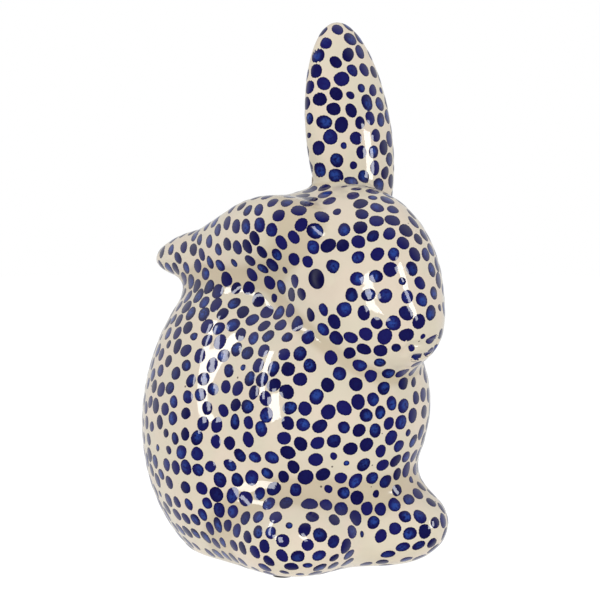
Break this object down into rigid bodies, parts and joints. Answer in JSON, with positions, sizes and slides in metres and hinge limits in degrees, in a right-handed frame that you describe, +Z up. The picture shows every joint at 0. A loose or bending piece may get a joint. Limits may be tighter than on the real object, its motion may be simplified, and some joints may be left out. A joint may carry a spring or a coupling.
{
  "type": "ceramic rabbit figurine",
  "caption": "Hollow glazed earthenware rabbit that sits with its head turned down, one ear up and one laid back, with dabbed blue dots and felt pads.",
  "frame": {"origin": "middle of the figure's box, on the surface that its felt pads stand on", "axes": "+Z up along the figure's height, -Y the way its feet and chest face, -X its right side"},
  "size_m": [0.1524, 0.2092, 0.2969],
  "materials": {
    "glazed_earthenware": "gloss",
    "felt": "matt"
  },
  "bodies": {
    "root": {"body_casting": "glazed_earthenware", "head_casting": "glazed_earthenware", "upright_ear": "glazed_earthenware", "laid_back_ear": "glazed_earthenware", "right_foot": "glazed_earthenware", "left_foot": "glazed_earthenware", "tail": "glazed_earthenware", "felt_pad_1": "felt", "felt_pad_2": "felt", "felt_pad_3": "felt", "felt_pad_4": "felt"}
  },
  "joints": []
}
